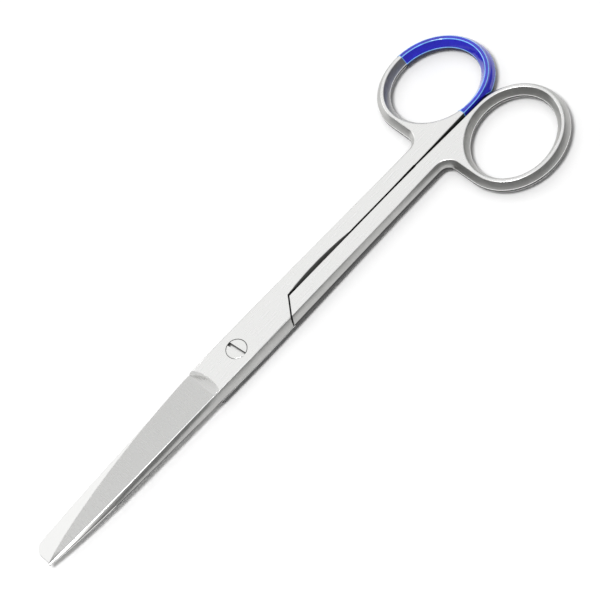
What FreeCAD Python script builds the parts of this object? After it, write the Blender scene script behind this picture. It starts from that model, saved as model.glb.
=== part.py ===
import FreeCAD, Part
import math
import os

import Sketcher
from FreeCAD import Placement, Rotation, Vector

# Operating scissors, one blade sharp and one blunt, lying closed on a table.
# Both halves are drop-forged bars that lap at a flush slotted screw. Each half is
# modelled in its own frame: X runs from the screw to its finger ring, Y points to
# its own shank, Z = 0 is the lap face and the half's blade lies above it. The
# rear half is then turned over about X. In the finished part the origin is on the
# table plane, under the screw.

# Driving sizes in millimetres and degrees: alias, value, meaning
SIZES = (
    ("sharp_reach", 67.0, "screw axis to the sharp blade's tip"),
    ("blunt_reach", 66.55, "screw axis to the blunt blade's end"),
    ("ground_reach", 12.0, "screw axis to the first blade section"),
    ("shoulder_reach", 18.25, "screw axis to the shoulder, on the centre line"),
    ("shoulder_angle", 38.5, "shoulder line, measured from square across"),
    ("shoulder_gap", 0.42, "play between a lap end and the other shoulder"),
    ("bar_straight", 2.0, "length of straight bar before the shoulder"),
    ("waist_reach", 38.0, "screw axis to the middle section of the shank"),
    ("bow_reach", 62.5, "screw axis to the end of the shank"),
    ("layer", 2.6, "thickness of one half at the joint"),
    ("lap_play", 0.05, "running play between the two lap faces"),
    ("face_stock", 0.06, "forging stock ground off the flat faces of the joint"),
    ("lap_ease", 0.14, "how far the lap face falls away towards the blade"),
    ("lap_ease_reach", 3.0, "screw axis to the start of that fall"),
    ("root_gap", 0.62, "gap between the closed shanks at the shoulder"),
    ("shank_gap", 0.44, "gap between the closed shanks at the rings"),
    ("joint_side", 5.6, "centre line to the forged ridge at the joint"),
    ("joint_slant", 1.08, "width of the forging slope at the joint"),
    ("front_belt", 0.22, "lap face to the ridge at the joint, front half"),
    ("rear_belt", 0.5, "lap face to the ridge at the joint, rear half"),
    ("spine_belt", 0.45, "how much higher the ridge is along the blade"),
    ("knee_height", 0.5, "share of a forged slope's height that is steep"),
    ("knee_width", 0.3, "share of a forged slope's width that is steep"),
    ("ring_knee_width", 0.4, "the same share round the finger ring"),
    ("waist_side", 5.25, "centre line to the ridge at the middle of the shank"),
    ("waist_slant", 0.82, "width of the slope at the middle of the shank"),
    ("waist_belt", 0.42, "lap face to the ridge at the middle of the shank"),
    ("waist_rise", 2.45, "half thickness at the middle of the shank"),
    ("shank_side", 5.13, "centre line to the ridge at the end of the shank"),
    ("shank_slant", 1.05, "width of the slope at the end of the shank"),
    ("bow_belt", 0.45, "lap face to the ridge round the finger ring"),
    ("bow_rise", 2.3, "half thickness of the finger ring"),
    ("front_ring_x", 82.95, "screw axis to the front half's ring centre, along"),
    ("front_ring_y", 12.7, "centre line to the front half's ring centre"),
    ("rear_ring_x", 83.4, "screw axis to the rear half's ring centre, along"),
    ("rear_ring_y", 13.05, "centre line to the rear half's ring centre"),
    ("ring_turn", 12.5, "lean of the ring's long axis"),
    ("hole_long", 12.0, "half length of the finger hole at the ridge"),
    ("hole_short", 10.15, "half width of the finger hole at the ridge"),
    ("ring_wall", 3.3, "radial width of the ring at the ridge"),
    ("ring_slant", 1.3, "width of each slope of the ring"),
    ("neck_radius", 2.7, "hollow between shank and ring, at the ridge"),
    ("edge_land", 0.15, "thickness left at the cutting edge"),
    ("hollow", 0.12, "how far the blades stand off each other"),
    ("tip_slant_loss", 0.68, "how much the spine's slope narrows at the tip"),
    ("tip_stock", 0.28, "thickness left over the ground face at the tip"),
    ("sharp_thinning", 0.0, "how much more than the ground face the sharp blade thins"),
    ("blunt_thinning", 0.4, "how much more than the ground face the blunt blade thins"),
    ("sharp_spine_lean", 0.45, "how much the sharp blade's spine leans in"),
    ("sharp_spine_bow", 2.0, "how much the sharp blade's spine curves in"),
    ("sharp_edge_root", 5.7, "centre line to the sharp blade's edge, at its root"),
    ("sharp_edge_lean", 2.1, "how much the sharp edge leans in"),
    ("sharp_edge_bow", 5.4, "how much the sharp edge curves in"),
    ("sharp_edge_hook", 0.75, "how much the sharp edge turns in at the point"),
    ("blunt_spine_lean", 1.75, "how much the blunt blade's spine leans in"),
    ("blunt_spine_bow", 0.8, "how much the blunt blade's spine curves in"),
    ("blunt_edge_root", 5.3, "centre line to the blunt blade's edge, at its root"),
    ("blunt_edge_lean", 1.0, "how much the blunt edge leans in"),
    ("blunt_edge_bow", 1.5, "how much the blunt edge curves in"),
    ("blunt_edge_hook", 0.0, "how much the blunt edge turns in at the end"),
    ("blunt_run", 2.7, "blunt blade's rounded corner, along the blade"),
    ("blunt_drop", 2.8, "blunt blade's rounded corner, across the blade"),
    ("blunt_radius", 2.75, "radius of that corner"),
    ("grind_reach", 9.5, "screw axis to the end of the ground face"),
    ("grind_radius", 11.0, "curve of the end of the ground face"),
    ("grind_offset", -0.8, "centre line to the middle of that curve"),
    ("relief_start", 18.6, "screw axis to the start of the eased inner edge"),
    ("relief_peak", 23.5, "screw axis to the widest of the eased inner edge"),
    ("relief_end", 41.0, "screw axis to the end of the eased inner edge"),
    ("relief_width", 0.56, "eased inner edge, across the shank's flat face"),
    ("relief_depth", 0.75, "eased inner edge, down the shank's inner wall"),
    ("relief_least", 0.03, "width and depth at both ends of the eased edge"),
    ("head_diameter", 5.25, "screw head"),
    ("head_height", 1.1, "screw head"),
    ("head_play", 0.07, "radial play round the screw head"),
    ("stem_diameter", 3.4, "screw stem"),
    ("stem_play", 0.03, "radial play of the stem in the front half"),
    ("thread_play", 0.01, "radial play of the stem in the rear half"),
    ("slot_width", 0.95, "screwdriver slot"),
    ("slot_depth", 0.9, "screwdriver slot"),
    ("slot_turn", 95.4, "slot direction from the length of the scissors"),
    ("screw_break", 0.12, "broken edge of the screw head"),
    ("stem_chamfer", 0.3, "lead-in at the stem's end"),
    ("coat_thickness", 0.12, "blue coat on the front half's ring"),
    ("coat_play", 0.01, "how far the coat's inner skin clears the steel"),
    ("coat_outer_reach", 83.1, "screw axis to the coat's end on the ring's outer side"),
    ("coat_inner_reach", 80.4, "screw axis to the coat's end beside the other ring"),
)

BLADE_STATIONS = (0.0, 0.2, 0.4, 0.6, 0.8, 0.92, 1.0)
TIP_POWER = 12
SLANT_POWER = 8
SPINE_POWER = 4
# Top of the land at the cutting edge, at the blade's root
GRIND_LOW = "(sizes.lap_play/2 + sizes.lap_ease + sizes.edge_land)"
# How far a cutting outline passes the steel it cuts
OVERSHOOT = 1.0
# Half size of the cutting outlines round the bars: any value beyond their width
CLEAR = 9.0


def value(expression):
    """Number that an expression in the sheet's sizes gives."""
    result = sizes.evalExpression(expression)
    return float(getattr(result, "Value", result))


def plane(body, role):
    """The body's own origin plane with this role."""
    for feature in body.Origin.OriginFeatures:
        if feature.Role == role:
            return feature
    raise RuntimeError(f"no {role}")


def new_sketch(body, name, role, lift="0"):
    """Empty sketch on one of the body's planes, lifted along that plane's normal."""
    sketch = body.newObject("Sketcher::SketchObject", name)
    sketch.AttachmentSupport = [(plane(body, role), "")]
    sketch.MapMode = "FlatFace"
    sketch.setExpression("AttachmentOffset.Base.z", lift)
    return sketch


def pin(sketch, geometry, end, across, up):
    """Hold one point of the sketch at two coordinates."""
    for kind, expression in (("DistanceX", across), ("DistanceY", up)):
        index = sketch.addConstraint(
            Sketcher.Constraint(kind, -1, 1, geometry, end, value(expression)))
        sketch.setExpression(f"Constraints[{index}]", expression)


def add_polygon(sketch, corners):
    """Closed outline through corners given as pairs of expressions."""
    points = [Vector(value(across), value(up), 0) for across, up in corners]
    count = len(points)
    for index in range(count):
        sketch.addGeometry(Part.LineSegment(points[index], points[(index + 1) % count]), False)
    for index in range(count):
        after = (index + 1) % count
        sketch.addConstraint(Sketcher.Constraint("Coincident", index, 2, after, 1))
        pin(sketch, index, 1, *corners[index])


def add_circle(sketch, radius):
    """Circle about the screw axis."""
    sketch.addGeometry(Part.Circle(Vector(0, 0, 0), Vector(0, 0, 1), value(radius)), False)
    sketch.addConstraint(Sketcher.Constraint("Coincident", 0, 3, -1, 1))
    index = sketch.addConstraint(Sketcher.Constraint("Radius", 0, value(radius)))
    sketch.setExpression(f"Constraints[{index}]", radius)


def loft(body, name, sketches, ruled, subtract=False):
    """Skin through several sketches, added to the body or taken from it."""
    kind = "SubtractiveLoft" if subtract else "AdditiveLoft"
    feature = body.newObject(f"PartDesign::{kind}", name)
    feature.Profile = sketches[0]
    feature.Sections = sketches[1:]
    feature.Ruled = ruled
    return feature


def pocket(body, name, sketch, depth):
    """Cut from the sketch's plane against its normal."""
    feature = body.newObject("PartDesign::Pocket", name)
    feature.Profile = sketch
    feature.Length = value(depth)
    feature.setExpression("Length", depth)
    return feature


# Forged bar: joint and shank


def slope_points(side, slant, belt, rise):
    """Ridge, knee and top of a forged slope, as pairs of expressions."""
    return (
        (side, belt),
        (f"{side} - {slant}*sizes.knee_width",
         f"{belt} + ({rise} - {belt})*sizes.knee_height"),
        (f"{side} - {slant}", rise),
    )


def bar_section(body, name, reach, side, slant, belt, rise):
    """Forging section across the bar, the same in its four quarters."""
    sketch = new_sketch(body, name, "YZ_Plane", reach)
    quarter = slope_points(side, slant, belt, rise)
    corners = list(quarter)
    corners += [(f"-({across})", up) for across, up in reversed(quarter)]
    corners += [(f"-({across})", f"-({up})") for across, up in quarter]
    corners += [(across, f"-({up})") for across, up in reversed(quarter)]
    add_polygon(sketch, corners)
    return sketch


def make_bar(body, belt):
    """Joint and shank as one smooth bar, still full width, ground flat at the joint."""
    stock = "(sizes.layer + sizes.face_stock)"
    joint = ("sizes.joint_side", "sizes.joint_slant", belt, stock)
    waist = ("sizes.waist_side", "sizes.waist_slant", "sizes.waist_belt", "sizes.waist_rise")
    shank = ("sizes.shank_side", "sizes.shank_slant", "sizes.bow_belt", "sizes.bow_rise")
    straight = "sizes.shoulder_reach - sizes.bar_straight"
    sections = [
        bar_section(body, "bar_joint", "-sizes.ground_reach", *joint),
        bar_section(body, "bar_shoulder", straight, *joint),
        bar_section(body, "bar_waist", "sizes.waist_reach", *waist),
        bar_section(body, "bar_end", "sizes.bow_reach", *shank),
    ]
    loft(body, "bar", sections, False)
    start = f"-sizes.ground_reach - {OVERSHOOT}"
    for name, lift, depth in (("face_over", f"{CLEAR}", f"{CLEAR} - sizes.layer"),
                              ("face_under", "-sizes.layer", f"{CLEAR}")):
        outline = new_sketch(body, f"{name}_outline", "XY_Plane", lift)
        add_polygon(outline, [
            (start, f"-{CLEAR}"),
            ("sizes.bow_reach", f"-{CLEAR}"),
            ("sizes.bow_reach", f"{CLEAR}"),
            (start, f"{CLEAR}"),
        ])
        pocket(body, name, outline, depth)


def cut_bar(body):
    """Take the other half's side and layer away: gap, lap end, shoulder and lap."""
    slope = "tan(sizes.shoulder_angle)"
    root_gap = "sizes.root_gap/2"
    shank_gap = "sizes.shank_gap/2"
    lap_end = "sizes.shoulder_reach - sizes.shoulder_gap/cos(sizes.shoulder_angle)"
    beyond = f"sizes.bow_reach + {OVERSHOOT}"
    side = new_sketch(body, "side_cut_outline", "XY_Plane", f"{CLEAR}")
    add_polygon(side, [
        (f"{lap_end} - {CLEAR}*{slope}", f"-{CLEAR}"),
        (f"{lap_end} + {root_gap}*{slope}", root_gap),
        ("sizes.bow_reach", shank_gap),
        (beyond, shank_gap),
        (beyond, f"-{CLEAR}"),
    ])
    pocket(body, "side_cut", side, f"2*{CLEAR}")
    start = f"-sizes.ground_reach - {OVERSHOOT}"
    past = f"sizes.shoulder_reach + {OVERSHOOT}"
    lap = new_sketch(body, "lap_outline", "XY_Plane", "sizes.lap_play/2")
    add_polygon(lap, [
        (start, f"-{CLEAR}"),
        (past, f"-{CLEAR}"),
        (past, "0"),
        ("sizes.shoulder_reach", "0"),
        (f"sizes.shoulder_reach - {CLEAR}*{slope}", f"{CLEAR}"),
        (start, f"{CLEAR}"),
    ])
    pocket(body, "lap", lap, f"{CLEAR}")


def ease_lap(body):
    """Let the lap face fall away from the screw towards the blade."""
    sketch = new_sketch(body, "lap_ease_outline", "XZ_Plane", f"{CLEAR}")
    start = f"-sizes.ground_reach - {OVERSHOOT}"
    add_polygon(sketch, [
        ("-sizes.lap_ease_reach", "-sizes.layer"),
        ("-sizes.lap_ease_reach", "sizes.lap_play/2"),
        ("-sizes.ground_reach", "sizes.lap_play/2 + sizes.lap_ease"),
        (start, "sizes.lap_play/2 + sizes.lap_ease"),
        (start, "-sizes.layer"),
    ])
    pocket(body, "lap_ease_cut", sketch, f"2*{CLEAR}")


def ease_inner_edge(body):
    """Long shallow facet on the shank's inner edge, next to the shoulder."""
    sections = []
    for name, reach, width, depth in (
            ("start", "sizes.relief_start", "sizes.relief_least", "sizes.relief_least"),
            ("peak", "sizes.relief_peak", "sizes.relief_width", "sizes.relief_depth"),
            ("end", "sizes.relief_end", "sizes.relief_least", "sizes.relief_least")):
        sketch = new_sketch(body, f"relief_{name}", "YZ_Plane", reach)
        share = (f"(({reach} - sizes.shoulder_reach)"
                 "/(sizes.bow_reach - sizes.shoulder_reach))")
        wall = f"(sizes.root_gap + (sizes.shank_gap - sizes.root_gap)*{share})/2"
        add_polygon(sketch, [
            (f"{wall} - {width}", f"sizes.layer - 2*{depth}"),
            (f"{wall} + 2*{width}", f"sizes.layer + {depth}"),
            (f"{wall} - {width}", f"sizes.layer + {depth}"),
        ])
        sections.append(sketch)
    loft(body, "relief", sections, False, subtract=True)


# Finger ring with its neck


def ring_axes(half):
    """Centre, long direction and short direction of a half's ring."""
    centre = Vector(value(f"sizes.{half}_ring_x"), value(f"sizes.{half}_ring_y"), 0)
    turn = math.radians(-value("sizes.ring_turn"))
    major = Vector(math.cos(turn), math.sin(turn), 0)
    minor = Vector(-math.sin(turn), math.cos(turn), 0)
    return centre, major, minor


def hold_ellipse(sketch, half, ring, long_half, short_half):
    """Centre, long axis and short axis of the ring's ellipse."""
    pin(sketch, ring, 3, f"sizes.{half}_ring_x", f"sizes.{half}_ring_y")
    centre, major, minor = ring_axes(half)
    add = sketch.addConstraint
    axes = (
        ("InternalAlignment:EllipseMajorDiameter", major, long_half),
        ("InternalAlignment:EllipseMinorDiameter", minor, short_half),
    )
    lines = []
    for kind, direction, reach in axes:
        arm = direction * value(reach)
        line = sketch.addGeometry(Part.LineSegment(centre - arm, centre + arm), True)
        add(Sketcher.Constraint(kind, line, ring))
        lines.append(line)
    for line, (kind, direction, reach) in zip(lines, axes):
        index = add(Sketcher.Constraint("Distance", line, 2 * value(reach)))
        sketch.setExpression(f"Constraints[{index}]", f"2*({reach})")
    turn = math.radians(-value("sizes.ring_turn"))
    index = add(Sketcher.Constraint("Angle", -1, 1, lines[0], 1, turn))
    sketch.setExpression(f"Constraints[{index}]", "-sizes.ring_turn")


def bow_outline(body, name, half, lift, slope, side_slope, skin):
    """Outer outline of the ring and neck, drawn in by the slope at that height."""
    sketch = new_sketch(body, name, "XY_Plane", lift)
    long_half = f"sizes.hole_long + sizes.ring_wall - {slope} + {skin}"
    short_half = f"sizes.hole_short + sizes.ring_wall - {slope} + {skin}"
    side = f"sizes.shank_side - {side_slope} + {skin}"
    radius = f"sizes.neck_radius + {slope} - {skin}"
    half_gap = f"sizes.shank_gap/2 - {skin}"
    centre, major, minor = ring_axes(half)
    long_value = value(long_half)
    short_value = value(short_half)
    gap_value = value(half_gap)
    side_value = value(side)
    hollow = value(radius)

    def on_ellipse(angle):
        along = major * (long_value * math.cos(angle))
        across = minor * (short_value * math.sin(angle))
        return centre + along + across

    # Lowest and leftmost points of the leaning ellipse, and where it meets the gap
    lowest = math.atan2(-short_value * minor.y, -long_value * major.y)
    leftmost = math.atan2(-short_value * minor.x, -long_value * major.x)
    share = (centre.y - gap_value) / (centre.y - on_ellipse(lowest).y)
    crosses = share < 1
    first = lowest + (math.acos(share) if crosses else 0)
    while leftmost < first:
        leftmost += 2 * math.pi
    left = on_ellipse(leftmost)
    start = on_ellipse(first)

    origin = Vector(value("sizes.bow_reach"), gap_value, 0)
    head = Vector(value("sizes.bow_reach"), side_value, 0)
    hollow_centre = Vector(left.x - hollow, side_value + hollow, 0)
    foot = Vector(hollow_centre.x, side_value, 0)
    heel = Vector(left.x, hollow_centre.y, 0)

    gap_line = sketch.addGeometry(Part.LineSegment(origin, start), False)
    ellipse = Part.Ellipse(centre + major * long_value, centre + minor * short_value, centre)
    ring = sketch.addGeometry(Part.ArcOfEllipse(ellipse, first, leftmost), False)
    riser = sketch.addGeometry(Part.LineSegment(left, heel), False)
    circle = Part.Circle(hollow_centre, Vector(0, 0, 1), hollow)
    neck = sketch.addGeometry(Part.ArcOfCircle(circle, -math.pi / 2, 0), False)
    outside = sketch.addGeometry(Part.LineSegment(foot, head), False)
    butt = sketch.addGeometry(Part.LineSegment(head, origin), False)

    add = sketch.addConstraint
    if crosses:
        add(Sketcher.Constraint("Coincident", gap_line, 2, ring, 1))
        add(Sketcher.Constraint("Horizontal", gap_line))
    else:
        add(Sketcher.Constraint("Tangent", gap_line, 2, ring, 1))
    add(Sketcher.Constraint("Coincident", outside, 2, butt, 1))
    add(Sketcher.Constraint("Coincident", butt, 2, gap_line, 1))
    add(Sketcher.Constraint("Tangent", ring, 2, riser, 1))
    add(Sketcher.Constraint("Tangent", riser, 2, neck, 2))
    add(Sketcher.Constraint("Tangent", neck, 1, outside, 1))
    add(Sketcher.Constraint("Vertical", riser))
    add(Sketcher.Constraint("Horizontal", outside))
    pin(sketch, gap_line, 1, "sizes.bow_reach", half_gap)
    pin(sketch, outside, 2, "sizes.bow_reach", side)
    index = add(Sketcher.Constraint("Radius", neck, hollow))
    sketch.setExpression(f"Constraints[{index}]", radius)
    hold_ellipse(sketch, half, ring, long_half, short_half)
    return sketch


def hole_outline(body, name, half, lift, slope, skin):
    """Finger hole, opened out by the slope at that height."""
    sketch = new_sketch(body, name, "XY_Plane", lift)
    long_half = f"sizes.hole_long + {slope} - {skin}"
    short_half = f"sizes.hole_short + {slope} - {skin}"
    centre, major, minor = ring_axes(half)
    ellipse = Part.Ellipse(centre + major * value(long_half),
                           centre + minor * value(short_half), centre)
    ring = sketch.addGeometry(ellipse, False)
    hold_ellipse(sketch, half, ring, long_half, short_half)
    return sketch


def make_bow(body, half, skin="0"):
    """Ring and neck, a straight belt between two kneed slopes, then the finger hole.
    The skin is how far the outline stands off the steel."""
    belt = "sizes.bow_belt"
    rise = f"sizes.bow_rise + {skin}"
    knee = f"{belt} + (sizes.bow_rise - {belt})*sizes.knee_height"
    ring_knee = "sizes.ring_slant*sizes.ring_knee_width"
    side_knee = "sizes.shank_slant*sizes.knee_width"
    levels = (
        ("under", f"-({rise})", "sizes.ring_slant", "sizes.shank_slant"),
        ("under_knee", f"-({knee})", ring_knee, side_knee),
        ("under_belt", f"-{belt}", "0", "0"),
        ("over_belt", belt, "0", "0"),
        ("over_knee", knee, ring_knee, side_knee),
        ("over", rise, "sizes.ring_slant", "sizes.shank_slant"),
    )
    outlines = [bow_outline(body, f"bow_{name}", half, lift, slope, side_slope, skin)
                for name, lift, slope, side_slope in levels]
    loft(body, "bow", outlines, True)
    holes = [hole_outline(body, f"hole_{name}", half, lift, slope, skin)
             for name, lift, slope, side_slope in levels]
    loft(body, "finger_hole", holes, True, subtract=True)


# Blade


def ground_slope(edge):
    """Rise over run of the ground face, from the cutting edge to the spine."""
    return (f"((sizes.layer - {GRIND_LOW})"
            f"/(sizes.{edge}_edge_root + sizes.joint_side - sizes.joint_slant))")


def spine_line(edge, share):
    """Distance of the spine's ridge from the centre line at a share of the blade."""
    return (f"(sizes.joint_side - sizes.{edge}_spine_lean*{share}"
            f" - sizes.{edge}_spine_bow*{share}^{SPINE_POWER})")


def blade_section(body, name, edge, belt, station):
    """Wedge from the cutting edge up to the sloped spine, at a share of the length."""
    reach = f"-(sizes.ground_reach + (sizes.{edge}_reach - sizes.ground_reach)*{station})"
    sketch = new_sketch(body, name, "YZ_Plane", reach)
    near_tip = f"{station ** TIP_POWER:.6f}"
    middle = f"{4 * station * (1 - station):.6f}"
    near_root = f"{(1 - station) ** 2:.6f}"
    cutting = (f"sizes.{edge}_edge_root - sizes.{edge}_edge_lean*{station}"
               f" - sizes.{edge}_edge_bow*{station}^2 - sizes.{edge}_edge_hook*{near_tip}")
    spine = spine_line(edge, station)
    slant = f"(sizes.joint_slant - sizes.tip_slant_loss*{station ** SLANT_POWER:.6f})"
    ridge = f"({belt} + sizes.spine_belt*{middle})"
    face = f"(sizes.lap_play/2 + sizes.lap_ease*{near_root} + sizes.hollow*{middle})"
    rise = (f"({face} + sizes.edge_land + ({cutting} + {spine} - {slant})*{ground_slope(edge)}"
            f" - sizes.{edge}_thinning*{station} + sizes.tip_stock*{near_tip})")
    quarter = slope_points(spine, slant, ridge, rise)
    corners = [(f"-({across})", up) for across, up in reversed(quarter)]
    add_polygon(sketch, [
        (cutting, face),
        (cutting, f"{face} + sizes.edge_land"),
        *corners,
        (f"-{spine}", face),
    ])
    return sketch


def make_blade(body, edge, belt):
    """Blade from the joint to the tip."""
    sections = [blade_section(body, f"blade_{index}", edge, belt, station)
                for index, station in enumerate(BLADE_STATIONS)]
    loft(body, "blade", sections, False)


def grind_blade(body, edge):
    """Carry the ground face into the joint, to a curved end."""
    root = f"sizes.{edge}_edge_root"
    slope = ground_slope(edge)
    tilt = f"atan({slope})"
    sketch = new_sketch(body, "grind_outline", "XY_Plane")
    tilted = Rotation(Vector(-1, 0, 0), value(tilt))
    sketch.AttachmentOffset = Placement(Vector(0, 0, 0), tilted)
    sketch.setExpression("AttachmentOffset.Base.z", f"{GRIND_LOW} + {root}*{slope}")
    sketch.setExpression("AttachmentOffset.Rotation.Angle", tilt)

    radius = value("sizes.grind_radius")
    chord_at = f"-sizes.ground_reach - {OVERSHOOT}"
    centre = Vector(-value("sizes.grind_reach") - radius, value("sizes.grind_offset"), 0)
    opening = math.acos((value(chord_at) - centre.x) / radius)
    circle = Part.Circle(centre, Vector(0, 0, 1), radius)
    arc = sketch.addGeometry(Part.ArcOfCircle(circle, -opening, opening), False)
    reach = Vector(radius * math.cos(opening), radius * math.sin(opening), 0)
    mirrored = Vector(reach.x, -reach.y, 0)
    chord = sketch.addGeometry(Part.LineSegment(centre + reach, centre + mirrored), False)
    sketch.addConstraint(Sketcher.Constraint("Coincident", arc, 2, chord, 1))
    sketch.addConstraint(Sketcher.Constraint("Coincident", chord, 2, arc, 1))
    sketch.addConstraint(Sketcher.Constraint("Vertical", chord))
    pin(sketch, arc, 3, "-sizes.grind_reach - sizes.grind_radius", "sizes.grind_offset")
    index = sketch.addConstraint(Sketcher.Constraint("Radius", arc, radius))
    sketch.setExpression(f"Constraints[{index}]", "sizes.grind_radius")
    index = sketch.addConstraint(
        Sketcher.Constraint("DistanceX", -1, 1, chord, 1, value(chord_at)))
    sketch.setExpression(f"Constraints[{index}]", chord_at)
    grind = pocket(body, "grind", sketch, "sizes.layer")
    grind.Reversed = True


def round_blunt_end(body):
    """Round the spine's corner of the blunt blade."""
    sketch = new_sketch(body, "corner_outline", "XY_Plane", f"{CLEAR}")
    share = "(1 - sizes.blunt_run/(sizes.blunt_reach - sizes.ground_reach))"
    spine = f"-{spine_line('blunt', share)}"
    tip = "-sizes.blunt_reach"
    beyond = f"{tip} - {OVERSHOOT}"
    inner = (f"{tip} + sizes.blunt_run", spine)
    outer = (tip, f"{spine} + sizes.blunt_drop")
    corners = [outer, (beyond, outer[1]), (beyond, f"-{CLEAR}"), (inner[0], f"-{CLEAR}"), inner]
    points = [Vector(value(across), value(up), 0) for across, up in corners]
    for index in range(len(points) - 1):
        sketch.addGeometry(Part.LineSegment(points[index], points[index + 1]), False)
    radius = value("sizes.blunt_radius")
    chord = points[0] - points[-1]
    offset = math.sqrt(radius ** 2 - chord.Length ** 2 / 4)
    centre = (points[0] + points[-1]) * 0.5 + Vector(chord.y, -chord.x, 0).normalize() * offset
    circle = Part.Circle(centre, Vector(0, 0, 1), radius)
    first = math.atan2(points[0].y - centre.y, points[0].x - centre.x) % (2 * math.pi)
    last = math.atan2(points[-1].y - centre.y, points[-1].x - centre.x) % (2 * math.pi)
    arc = sketch.addGeometry(Part.ArcOfCircle(circle, first, last), False)
    lines = range(len(points) - 1)
    for index in lines[:-1]:
        sketch.addConstraint(Sketcher.Constraint("Coincident", index, 2, index + 1, 1))
    sketch.addConstraint(Sketcher.Constraint("Coincident", arc, 1, lines[0], 1))
    sketch.addConstraint(Sketcher.Constraint("Coincident", arc, 2, lines[-1], 2))
    for index in lines:
        pin(sketch, index, 1, *corners[index])
    pin(sketch, lines[-1], 2, *corners[-1])
    index = sketch.addConstraint(Sketcher.Constraint("Radius", arc, radius))
    sketch.setExpression(f"Constraints[{index}]", "sizes.blunt_radius")
    pocket(body, "corner", sketch, f"2*{CLEAR}")


# Whole pieces


def bore(body, name, radius, top, depth):
    """Round hole about the screw axis, down from the given height."""
    sketch = new_sketch(body, f"{name}_outline", "XY_Plane", top)
    add_circle(sketch, radius)
    pocket(body, name, sketch, depth)


def make_half(half, edge):
    """One forged half in its own frame."""
    body = doc.addObject("PartDesign::Body", f"{half}_half")
    body.Label = f"{half}_half"
    belt = f"sizes.{half}_belt"
    make_bar(body, belt)
    cut_bar(body)
    make_bow(body, half)
    ease_inner_edge(body)
    ease_lap(body)
    make_blade(body, edge, belt)
    grind_blade(body, edge)
    return body


def make_front_half():
    """Sharp half on top, with the screw's seat."""
    body = make_half("front", "sharp")
    above = f"sizes.layer + {OVERSHOOT}"
    through = f"{above} + {OVERSHOOT}"
    bore(body, "screw_seat", "sizes.head_diameter/2 + sizes.head_play",
         "sizes.layer", "sizes.head_height + sizes.lap_play/2")
    bore(body, "stem_bore", "sizes.stem_diameter/2 + sizes.stem_play", above, through)
    body.setExpression("Placement.Base.z", "sizes.layer")
    return body


def make_rear_half():
    """Blunt half turned over beneath it, threaded for the screw."""
    body = make_half("rear", "blunt")
    above = f"sizes.layer + {OVERSHOOT}"
    through = f"{above} + {OVERSHOOT}"
    round_blunt_end(body)
    bore(body, "threaded_bore", "sizes.stem_diameter/2 + sizes.thread_play", above, through)
    body.Placement = Placement(Vector(0, 0, 0), Rotation(Vector(1, 0, 0), 180))
    body.setExpression("Placement.Base.z", "sizes.layer")
    return body


def make_screw():
    """Flush pivot screw with a straight slot."""
    body = doc.addObject("PartDesign::Body", "pivot_screw")
    body.Label = "pivot_screw"
    top = "2*sizes.layer"
    head = "sizes.head_diameter/2"
    stem = "sizes.stem_diameter/2"
    profile = new_sketch(body, "screw_profile", "XZ_Plane")
    add_polygon(profile, [
        ("0", "0"),
        (f"{stem} - sizes.stem_chamfer", "0"),
        (stem, "sizes.stem_chamfer"),
        (stem, f"{top} - sizes.head_height"),
        (head, f"{top} - sizes.head_height"),
        (head, f"{top} - sizes.screw_break"),
        (f"{head} - sizes.screw_break", top),
        ("0", top),
    ])
    turned = body.newObject("PartDesign::Revolution", "turned")
    turned.Profile = profile
    turned.ReferenceAxis = (profile, ["V_Axis"])
    turned.Angle = 360
    slot = new_sketch(body, "slot_outline", "XY_Plane", top)
    lift = Vector(0, 0, value(top))
    slot.AttachmentOffset = Placement(lift, Rotation(Vector(0, 0, 1), value("sizes.slot_turn")))
    slot.setExpression("AttachmentOffset.Base.z", top)
    slot.setExpression("AttachmentOffset.Rotation.Angle", "sizes.slot_turn")
    reach = "sizes.head_diameter"
    half = "sizes.slot_width/2"
    add_polygon(slot, [
        (f"-{reach}", f"-{half}"),
        (reach, f"-{half}"),
        (reach, half),
        (f"-{reach}", half),
    ])
    pocket(body, "slot", slot, "sizes.slot_depth")
    return body


def make_box(name, low, high, near, far):
    """Box over the ring's full height, between two lengths and two widths."""
    box = doc.addObject("Part::Box", name)
    box.setExpression("Placement.Base.x", low)
    box.setExpression("Placement.Base.y", near)
    box.setExpression("Placement.Base.z", f"-{CLEAR}")
    box.setExpression("Length", f"{high} - ({low})")
    box.setExpression("Width", f"{far} - ({near})")
    box.setExpression("Height", f"2*{CLEAR}")
    return box


def make_coat():
    """Blue sleeve over the outer half of the front half's ring."""
    outside = doc.addObject("PartDesign::Body", "coat_outside")
    make_bow(outside, "front", "sizes.coat_thickness")
    inside = doc.addObject("PartDesign::Body", "coat_inside")
    make_bow(inside, "front", "sizes.coat_play")
    end = "sizes.front_ring_x + 2*sizes.hole_long"
    middle = "sizes.front_ring_y"
    above = make_box("coat_above", "sizes.coat_outer_reach", end, middle,
                     f"{middle} + 2*sizes.hole_long")
    below = make_box("coat_below", "sizes.coat_inner_reach", end, "-sizes.shank_gap", middle)
    zone = doc.addObject("Part::Fuse", "coat_zone")
    zone.Base = above
    zone.Tool = below
    skin = doc.addObject("Part::Cut", "coat_skin")
    skin.Base = outside
    skin.Tool = inside
    coat = doc.addObject("Part::Common", "blue_ring_coat")
    coat.Label = "blue_ring_coat"
    coat.Base = skin
    coat.Tool = zone
    coat.setExpression("Placement.Base.z", "sizes.layer")
    return coat


doc = FreeCAD.newDocument("operating_scissors")
sizes = doc.addObject("Spreadsheet::Sheet", "sizes")
for row, (alias, number, meaning) in enumerate(SIZES, start=1):
    sizes.set(f"A{row}", meaning)
    sizes.set(f"B{row}", str(number))
    sizes.setAlias(f"B{row}", alias)
doc.recompute()

pieces = (make_front_half(), make_rear_half(), make_screw(), make_coat())
doc.recompute()

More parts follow.
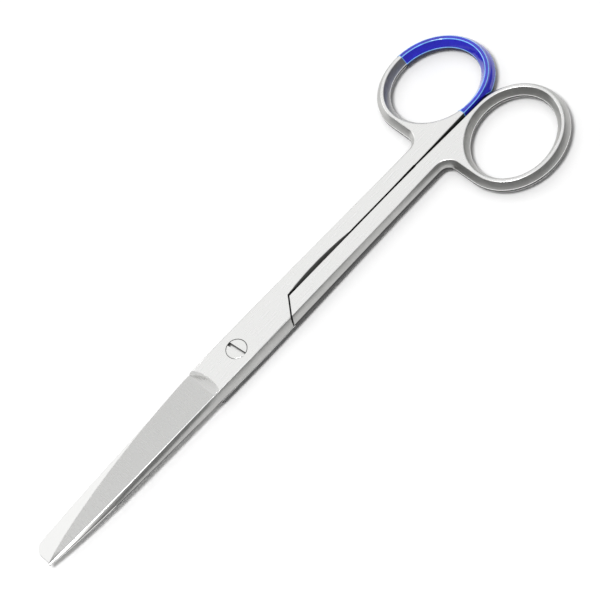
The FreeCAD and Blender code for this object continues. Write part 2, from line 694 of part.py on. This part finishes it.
for item in doc.Objects:
    if "Invalid" in item.State or "Error" in item.State:
        raise RuntimeError(f"{item.Name}: {item.State}")
for piece in pieces:
    if piece.Shape.isNull() or not piece.Shape.isValid():
        raise RuntimeError(f"{piece.Label} has no valid shape")

os.makedirs("parts", exist_ok=True)
for piece in pieces:
    piece.Shape.exportStep(f"parts/{piece.Label}.step")
    print(piece.Label, len(piece.Shape.Solids), round(piece.Shape.Volume, 1))
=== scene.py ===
import math

import bmesh
import bpy
from mathutils import Matrix, Vector


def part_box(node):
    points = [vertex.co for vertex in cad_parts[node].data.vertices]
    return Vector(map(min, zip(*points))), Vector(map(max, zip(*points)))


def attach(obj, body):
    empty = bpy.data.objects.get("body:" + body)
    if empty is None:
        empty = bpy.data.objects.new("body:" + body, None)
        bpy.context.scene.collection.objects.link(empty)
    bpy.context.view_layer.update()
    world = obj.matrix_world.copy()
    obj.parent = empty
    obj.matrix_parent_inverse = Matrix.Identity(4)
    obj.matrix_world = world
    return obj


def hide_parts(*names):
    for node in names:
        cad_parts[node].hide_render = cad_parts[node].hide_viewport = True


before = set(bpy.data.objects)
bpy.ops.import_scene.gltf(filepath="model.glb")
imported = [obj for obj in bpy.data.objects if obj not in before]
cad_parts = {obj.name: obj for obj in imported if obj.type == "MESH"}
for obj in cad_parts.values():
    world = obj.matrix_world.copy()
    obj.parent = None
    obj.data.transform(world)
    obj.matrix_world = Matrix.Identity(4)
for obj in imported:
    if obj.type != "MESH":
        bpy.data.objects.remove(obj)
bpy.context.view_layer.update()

# Operating scissors: two satin steel halves, a slotted screw and a blue coat on one ring.
# The blades point along -X, the rings along +X, and the halves rest on z = 0.

MM = 0.001
WHITE = (1.0, 1.0, 1.0, 1.0)

# Camera: the middle of the screw's head lands on one pixel of a square picture
FRAME_PX = 600.0
HEAD_PX = (236.45, 348.9)
PX_PER_MM = 4.237
CAMERA_AWAY_PX = 2600.0
CAMERA_TILT = math.radians(31.6)
CAMERA_HEADING = math.radians(-111.6)
CAMERA_ROLL = math.radians(-27.36)
CAMERA_NEAR = 0.05
CAMERA_FAR = 20.0
SENSOR_MM = 36.0

HEAD_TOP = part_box("pivot_screw")[1].z


def add_camera():
    """Camera at the photograph's viewing angle and distance."""
    back = Vector((math.sin(CAMERA_TILT) * math.cos(CAMERA_HEADING),
                   math.sin(CAMERA_TILT) * math.sin(CAMERA_HEADING),
                   math.cos(CAMERA_TILT)))
    level = Vector((0, 0, 1)).cross(back).normalized()
    rise = back.cross(level)
    right = math.cos(CAMERA_ROLL) * level + math.sin(CAMERA_ROLL) * rise
    up = math.cos(CAMERA_ROLL) * rise - math.sin(CAMERA_ROLL) * level
    pixel = MM / PX_PER_MM
    aside = (HEAD_PX[0] - FRAME_PX / 2) * pixel
    above = (FRAME_PX / 2 - HEAD_PX[1]) * pixel
    away = CAMERA_AWAY_PX * pixel
    place = Vector((0, 0, HEAD_TOP)) + back * away - right * aside - up * above
    data = bpy.data.cameras.new("photo_view")
    data.sensor_width = SENSOR_MM
    data.lens = SENSOR_MM * CAMERA_AWAY_PX / FRAME_PX
    data.clip_start = CAMERA_NEAR
    data.clip_end = CAMERA_FAR
    camera = bpy.data.objects.new("photo_view", data)
    turn = Matrix((right, up, back)).transposed()
    camera.matrix_world = Matrix.Translation(place) @ turn.to_4x4()
    bpy.context.scene.collection.objects.link(camera)
    bpy.context.scene.camera = camera


# Materials

# Scale, detail and roughness of the grain's three noises. Each finish stretches the
# scratches by its own figures. Grit and clouds have cells per metre.
SCRATCHES = (1.0, 3.0, 0.6)
GRIT = (2600.0, 2.0, 0.7)
CLOUDS = (240.0, 2.0, 0.5)
THREE_NOISES_MEAN = 1.5
SCRATCH_DEPTH = 0.02 * MM
ROUGHNESS_SWING = 0.05

# Steels of a half, one for each of its material slots: name, base colour, roughness,
# metallic, then the grain's cells per metre along and across, its contrast and its depth
HALF_STEELS = (
    ("satin_steel", (0.87, 0.87, 0.86), 0.28, 1.0, 300.0, 1800.0, 0.025, 0.015),
    ("lapped_steel", (0.96, 0.96, 0.95), 0.24, 1.0, 100.0, 1800.0, 0.02, 0.02),
    ("ground_steel", (0.71, 0.71, 0.70), 0.28, 1.0, 4000.0, 200.0, 0.02, 0.0),
    ("forged_steel", (0.47, 0.47, 0.46), 0.36, 1.0, 1400.0, 120.0, 0.16, 0.12),
    # The next steel is near-black painted shade for the upright belts and the faces that
    # lean down.
    ("painted_under_shade_steel", (0.06, 0.06, 0.06), 0.42, 1.0, 1400.0, 120.0, 0.20, 0.12),
    # The next steel is near-black painted shade in the bore, the gap between the halves,
    # the shoulder and the screw's slot and walls.
    ("painted_gap_shade_steel", (0.05, 0.05, 0.05), 0.55, 1.0, 900.0, 900.0, 0.20, 0.20),
    ("runout_steel", (0.95, 0.95, 0.94), 0.45, 0.4, 300.0, 1800.0, 0.02, 0.0),
    # The next steel is the rounded edges' worn polish, kept bright partly as a painted
    # highlight.
    ("worn_edge_highlight_steel", (0.88, 0.88, 0.87), 0.32, 1.0, 300.0, 1800.0, 0.02, 0.02),
)
SATIN, LAPPED, GROUND, FORGED, UNDER_SHADE, GAP_SHADE, RUNOUT, EDGE_HIGHLIGHT = range(len(HALF_STEELS))

# Steel of the screw's level faces. Its walls and edges have those of a half.
SCREW_STEEL = ("screw_steel", (0.87, 0.87, 0.86), 0.28, 1.0, 1200.0, 1200.0, 0.05, 0.10)

# Plastics of the coat, one for each of its material slots: name, base colour, roughness
# and weight of the glossy skin. Its grain is given as for the steels.
COAT_PLASTICS = (
    ("blue_coat", (0.022, 0.020, 0.50), 0.12, 0.8),
    # The next plastic is dull near-black painted shade for the coat's belt and underside.
    ("blue_coat_painted_shade", (0.006, 0.008, 0.06), 0.60, 0.0),
    # The next plastic is a pale cyan painted highlight on the coat's rounded edges.
    ("blue_coat_painted_highlight", (0.20, 0.52, 1.00), 0.14, 0.8),
)
COAT_ABOVE, COAT_SHADE, COAT_HIGHLIGHT = range(len(COAT_PLASTICS))
COAT_GRAIN = (500.0, 500.0, 0.60, 0.04)
SKIN_ROUGHNESS = 0.05


def new_material(name):
    """Material with only an output and a Principled shader."""
    material = bpy.data.materials.new(name)
    material.use_nodes = True
    tree = material.node_tree
    tree.nodes.clear()
    output = tree.nodes.new("ShaderNodeOutputMaterial")
    shader = tree.nodes.new("ShaderNodeBsdfPrincipled")
    tree.links.new(shader.outputs["BSDF"], output.inputs["Surface"])
    return material, tree, shader


def add_math(tree, operation, *terms):
    """Math node whose terms are sockets or plain numbers."""
    node = tree.nodes.new("ShaderNodeMath")
    node.operation = operation
    for term, entry in zip(terms, node.inputs):
        if isinstance(term, float):
            entry.default_value = term
        else:
            tree.links.new(term, entry)
    return node.outputs["Value"]


def add_noise(group, place, scale, detail, roughness):
    """Noise texture inside a node group, read at the given coordinates."""
    noise = group.nodes.new("ShaderNodeTexNoise")
    noise.inputs["Scale"].default_value = scale
    noise.inputs["Detail"].default_value = detail
    noise.inputs["Roughness"].default_value = roughness
    group.links.new(place, noise.inputs["Vector"])
    return noise.outputs["Fac"]


def new_grain_group():
    """Empty node group with the grain's sockets."""
    group = bpy.data.node_groups.new("satin_grain", "ShaderNodeTree")
    for name in ("Along", "Across", "Contrast", "Depth"):
        group.interface.new_socket(name, in_out="INPUT", socket_type="NodeSocketFloat")
    for name in ("Tone", "Scratch"):
        group.interface.new_socket(name, in_out="OUTPUT", socket_type="NodeSocketFloat")
    group.interface.new_socket("Normal", in_out="OUTPUT", socket_type="NodeSocketVector")
    return group


def add_stretched(group, inside, place):
    """Object coordinates scaled along and across the scissors."""
    scale = group.nodes.new("ShaderNodeCombineXYZ")
    group.links.new(inside.outputs["Along"], scale.inputs["X"])
    group.links.new(inside.outputs["Across"], scale.inputs["Y"])
    group.links.new(inside.outputs["Across"], scale.inputs["Z"])
    stretched = group.nodes.new("ShaderNodeVectorMath")
    stretched.operation = "MULTIPLY"
    group.links.new(place, stretched.inputs[0])
    group.links.new(scale.outputs["Vector"], stretched.inputs[1])
    return stretched.outputs["Vector"]


def build_grain():
    """Node group: grinding marks that run along or across the scissors, fine grit
    and slow clouds. Gives a tone round 1, a scratch value and a bumped normal."""
    group = new_grain_group()
    inside = group.nodes.new("NodeGroupInput")
    outside = group.nodes.new("NodeGroupOutput")
    place = group.nodes.new("ShaderNodeTexCoord").outputs["Object"]
    scratch = add_noise(group, add_stretched(group, inside, place), *SCRATCHES)
    grit = add_noise(group, place, *GRIT)
    cloud = add_noise(group, place, *CLOUDS)
    relief = add_math(group, "ADD", scratch, grit)
    total = add_math(group, "ADD", relief, cloud)
    centred = add_math(group, "SUBTRACT", total, THREE_NOISES_MEAN)
    tone = add_math(group, "MULTIPLY_ADD", centred, inside.outputs["Contrast"], 1.0)
    bump = group.nodes.new("ShaderNodeBump")
    bump.inputs["Distance"].default_value = SCRATCH_DEPTH
    group.links.new(inside.outputs["Depth"], bump.inputs["Strength"])
    group.links.new(relief, bump.inputs["Height"])
    group.links.new(tone, outside.inputs["Tone"])
    group.links.new(scratch, outside.inputs["Scratch"])
    group.links.new(bump.outputs["Normal"], outside.inputs["Normal"])
    return group


def add_grain(tree, shader, grain, color, along, across, contrast, depth):
    """Tint the shader's base colour and bump its normal with the shared grain."""
    marks = tree.nodes.new("ShaderNodeGroup")
    marks.node_tree = grain
    marks.inputs["Along"].default_value = along
    marks.inputs["Across"].default_value = across
    marks.inputs["Contrast"].default_value = contrast
    marks.inputs["Depth"].default_value = depth
    tint = tree.nodes.new("ShaderNodeVectorMath")
    tint.operation = "SCALE"
    tint.inputs[0].default_value = color
    tree.links.new(marks.outputs["Tone"], tint.inputs["Scale"])
    tree.links.new(tint.outputs["Vector"], shader.inputs["Base Color"])
    tree.links.new(marks.outputs["Normal"], shader.inputs["Normal"])
    return marks.outputs["Scratch"]


def steel(grain, name, color, rough, metal, along, across, contrast, depth):
    """Surgical steel with grinding marks and a slightly uneven polish."""
    material, tree, shader = new_material(name)
    scratch = add_grain(tree, shader, grain, color, along, across, contrast, depth)
    shader.inputs["Metallic"].default_value = metal
    polish = tree.nodes.new("ShaderNodeMapRange")
    polish.inputs["To Min"].default_value = rough - ROUGHNESS_SWING
    polish.inputs["To Max"].default_value = rough + ROUGHNESS_SWING
    tree.links.new(scratch, polish.inputs["Value"])
    tree.links.new(polish.outputs["Result"], shader.inputs["Roughness"])
    return material


def plastic(grain, name, color, rough, gloss):
    """Plastic coat with a mottled colour and a glossy skin over it."""
    material, tree, shader = new_material(name)
    add_grain(tree, shader, grain, color, *COAT_GRAIN)
    shader.inputs["Roughness"].default_value = rough
    shader.inputs["Coat Weight"].default_value = gloss
    shader.inputs["Coat Roughness"].default_value = SKIN_ROUGHNESS
    return material


# Pieces

# How a face of a half leans: size of its normal's upright or lengthwise part
FLAT_ABOVE = 0.985
GROUND_ABOVE = 0.95
UPRIGHT_BELOW = 0.10
SHOULDER_TURN = 0.5

# Where a face of a half lies. The halves lie on each other at the lap's height.
LAP_HEIGHT = 2.6 * MM
SAME_LAYER = 0.4 * MM
GRIND_END = -9.0 * MM
RUNOUT_REACH = -20.0 * MM
BORE_RADIUS = 3.0 * MM
SHOULDER_FROM = 8.0 * MM
SHOULDER_TO = 26.0 * MM
INNER_WALL = 0.45 * MM

# Merging of a copied mesh and rounding of its sharp edges. Where the blade's first
# section begins, at the blade's root, the mesh has a seam that isn't rounded.
SAME_POINT = 1e-7
SAME_PLANE = math.radians(0.3)
SHARP_ABOVE = math.radians(26)
SHORTEST_ROUNDED = 0.12 * MM
BLADE_ROOT = -12.0 * MM
BESIDE_ROOT = 0.05 * MM
ROUNDING_STEPS = 3
LARGE_FACES_LEAD = 100

# Material slot and width of the rounded edges. The edge steel is bright worn polish and
# partly a painted highlight.
STEEL_ROUNDING = (EDGE_HIGHLIGHT, 0.12 * MM)
SCREW_ROUNDING = (EDGE_HIGHLIGHT, 0.04 * MM)
COAT_ROUNDING = (COAT_HIGHLIGHT, 0.13 * MM)


def half_finish(face):
    """Finish of one face of a forged half, from where it lies and how it leans. Belts,
    downward faces and the walls of the bore, gap and shoulder get painted shade.
    """
    normal = face.normal
    middle = face.calc_center_median()
    level = abs(normal.z)
    if level > FLAT_ABOVE:
        return LAPPED if abs(middle.z - LAP_HEIGHT) < SAME_LAYER else SATIN
    if level > GROUND_ABOVE and middle.x < GRIND_END:
        return GROUND
    if abs(normal.x) > SHOULDER_TURN and RUNOUT_REACH < middle.x < GRIND_END:
        return RUNOUT
    # Faces that lean down, and the upright belts below, get near-black painted shade.
    if level > UPRIGHT_BELOW:
        return FORGED if normal.z > 0 else UNDER_SHADE
    # Walls of the bore, the gap between the shanks and the shoulder get near-black
    # painted shade.
    if middle.xy.length < BORE_RADIUS:
        return GAP_SHADE
    if middle.x > SHOULDER_FROM and abs(middle.y) < INNER_WALL:
        return GAP_SHADE
    if SHOULDER_FROM < middle.x < SHOULDER_TO and abs(normal.x) > SHOULDER_TURN:
        return GAP_SHADE
    return UNDER_SHADE


def screw_finish(face):
    """Finish of one face of the screw: its upright walls get near-black painted shade."""
    return GAP_SHADE if abs(face.normal.z) < UPRIGHT_BELOW else SATIN


def coat_finish(face):
    """The coat is glossy above; on its belt and below it is dull and carries a near-black
    painted shade.
    """
    return COAT_SHADE if face.normal.z < UPRIGHT_BELOW else COAT_ABOVE


def steel_stays_sharp(slots):
    """Rims of gaps, bores and the grind's end aren't rounded."""
    return bool(slots & {GAP_SHADE, RUNOUT})


def coat_stays_sharp(slots):
    """Only the coat's upper edges are rounded."""
    return slots == {COAT_SHADE}


def rounded(edge, stays_sharp):
    """Whether polishing rounds this edge."""
    if edge.smooth or edge.calc_length() < SHORTEST_ROUNDED:
        return False
    if all(abs(end.co.x - BLADE_ROOT) < BESIDE_ROOT for end in edge.verts):
        return False
    return not stays_sharp({face.material_index for face in edge.link_faces})


def copied_mesh(node, materials):
    """Copy of a CAD piece's mesh with the given materials and no stored normals."""
    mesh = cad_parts[node].data.copy()
    mesh.name = f"{node}_polished"
    if mesh.attributes.get("custom_normal"):
        mesh.attributes.remove(mesh.attributes["custom_normal"])
    mesh.materials.clear()
    for material in materials:
        mesh.materials.append(material)
    return mesh


def finish_mesh(mesh, finish, stays_sharp):
    """Merge the mesh, give each face its finish and mark the edges to be rounded."""
    shape = bmesh.new()
    shape.from_mesh(mesh)
    bmesh.ops.remove_doubles(shape, verts=shape.verts, dist=SAME_POINT)
    bmesh.ops.dissolve_limit(shape, angle_limit=SAME_PLANE, verts=shape.verts,
                             edges=shape.edges, use_dissolve_boundaries=False)
    for face in shape.faces:
        face.smooth = True
        face.material_index = finish(face)
    weight = shape.edges.layers.float.new("bevel_weight_edge")
    for edge in shape.edges:
        edge.smooth = edge.calc_face_angle(0.0) < SHARP_ABOVE
        edge[weight] = 1.0 if rounded(edge, stays_sharp) else 0.0
    shape.to_mesh(mesh)
    shape.free()


def add_rounding(piece, edge_slot, width):
    """Round the marked edges and shade the faces evenly."""
    round_off = piece.modifiers.new("round_off", "BEVEL")
    round_off.width = width
    round_off.segments = ROUNDING_STEPS
    round_off.limit_method = "WEIGHT"
    round_off.material = edge_slot
    round_off.harden_normals = True
    round_off.use_clamp_overlap = False
    even = piece.modifiers.new("even_shading", "WEIGHTED_NORMAL")
    even.keep_sharp = True
    even.weight = LARGE_FACES_LEAD


def polished(node, body, finish, stays_sharp, materials, rounding):
    """Add a copy of a CAD piece with its finishes and slightly rounded edges."""
    mesh = copied_mesh(node, materials)
    finish_mesh(mesh, finish, stays_sharp)
    piece = bpy.data.objects.new(f"{node}_polished", mesh)
    bpy.context.scene.collection.objects.link(piece)
    add_rounding(piece, *rounding)
    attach(piece, body)
    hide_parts(node)


# Surroundings

FLOOR_REACH = 2.5
FLOOR_TONE = 0.98

# Studio dome: dim all round, with a broad pale screen behind and a small one in front.
# Screens: heading and height in degrees, level, and how steeply they fade.
SKY_LEAST = 0.15
SCREENS = (
    (72.0, 50.0, 0.90, 5.0),
    (-86.0, 66.0, 0.90, 12.0),
)

# Softboxes: name, heading and height in degrees, distance and side in metres, watts
SOFTBOXES = (
    ("overhead", -150.0, 72.0, 1.2, 0.30, 9.6),
    ("rim", 118.0, 14.0, 1.5, 0.9, 5.0),
)


def add_floor():
    """Plain pale floor that keeps the object's soft shadow."""
    shape = bmesh.new()
    bmesh.ops.create_grid(shape, x_segments=1, y_segments=1, size=FLOOR_REACH)
    mesh = bpy.data.meshes.new("floor")
    shape.to_mesh(mesh)
    shape.free()
    floor = bpy.data.objects.new("floor", mesh)
    bpy.context.scene.collection.objects.link(floor)
    material, _, shader = new_material("floor")
    shader.inputs["Base Color"].default_value = (FLOOR_TONE, FLOOR_TONE, FLOOR_TONE, 1.0)
    shader.inputs["Roughness"].default_value = 1.0
    shader.inputs["Specular IOR Level"].default_value = 0.0
    mesh.materials.append(material)


def aim(heading, height):
    """Unit vector that points at a heading and a height, both in degrees."""
    around = math.radians(heading)
    above = math.radians(height)
    return Vector((math.cos(above) * math.cos(around),
                   math.cos(above) * math.sin(around),
                   math.sin(above)))


def add_screen(tree, place, below, heading, height, level, spread):
    """Pale patch on the dome, added to the level that it is given."""
    toward = tree.nodes.new("ShaderNodeVectorMath")
    toward.operation = "DOT_PRODUCT"
    toward.inputs[1].default_value = aim(heading, height)
    tree.links.new(place, toward.inputs[0])
    facing = add_math(tree, "MAXIMUM", toward.outputs["Value"], 0.0)
    fading = add_math(tree, "POWER", facing, spread)
    return add_math(tree, "MULTIPLY_ADD", fading, level, below)


def add_world():
    """Soft studio dome that brightens towards its screens."""
    world = bpy.data.worlds.new("studio")
    bpy.context.scene.world = world
    world.use_nodes = True
    tree = world.node_tree
    tree.nodes.clear()
    output = tree.nodes.new("ShaderNodeOutputWorld")
    place = tree.nodes.new("ShaderNodeTexCoord").outputs["Generated"]
    brightness = SKY_LEAST
    for screen in SCREENS:
        brightness = add_screen(tree, place, brightness, *screen)
    dome = tree.nodes.new("ShaderNodeBackground")
    dome.inputs["Color"].default_value = WHITE
    tree.links.new(brightness, dome.inputs["Strength"])
    tree.links.new(dome.outputs["Background"], output.inputs["Surface"])


def add_softbox(name, heading, height, away, side, power):
    """Square area lamp aimed at the joint."""
    data = bpy.data.lights.new(name, "AREA")
    data.shape = "SQUARE"
    data.size = side
    data.energy = power
    lamp = bpy.data.objects.new(name, data)
    toward = aim(heading, height)
    lamp.location = toward * away
    lamp.rotation_euler = toward.to_track_quat("Z", "Y").to_euler()
    bpy.context.scene.collection.objects.link(lamp)


grain = build_grain()
half_steels = [steel(grain, *values) for values in HALF_STEELS]
screw_steels = list(half_steels)
screw_steels[SATIN] = steel(grain, *SCREW_STEEL)
coat_plastics = [plastic(grain, *values) for values in COAT_PLASTICS]

polished("front_half", "front", half_finish, steel_stays_sharp,
         half_steels, STEEL_ROUNDING)
polished("rear_half", "rear", half_finish, steel_stays_sharp,
         half_steels, STEEL_ROUNDING)
polished("pivot_screw", "rear", screw_finish, steel_stays_sharp,
         screw_steels, SCREW_ROUNDING)
polished("blue_ring_coat", "front", coat_finish, coat_stays_sharp,
         coat_plastics, COAT_ROUNDING)

add_floor()
add_world()
for softbox in SOFTBOXES:
    add_softbox(*softbox)
add_camera()
bpy.context.scene.view_settings.view_transform = "Standard"
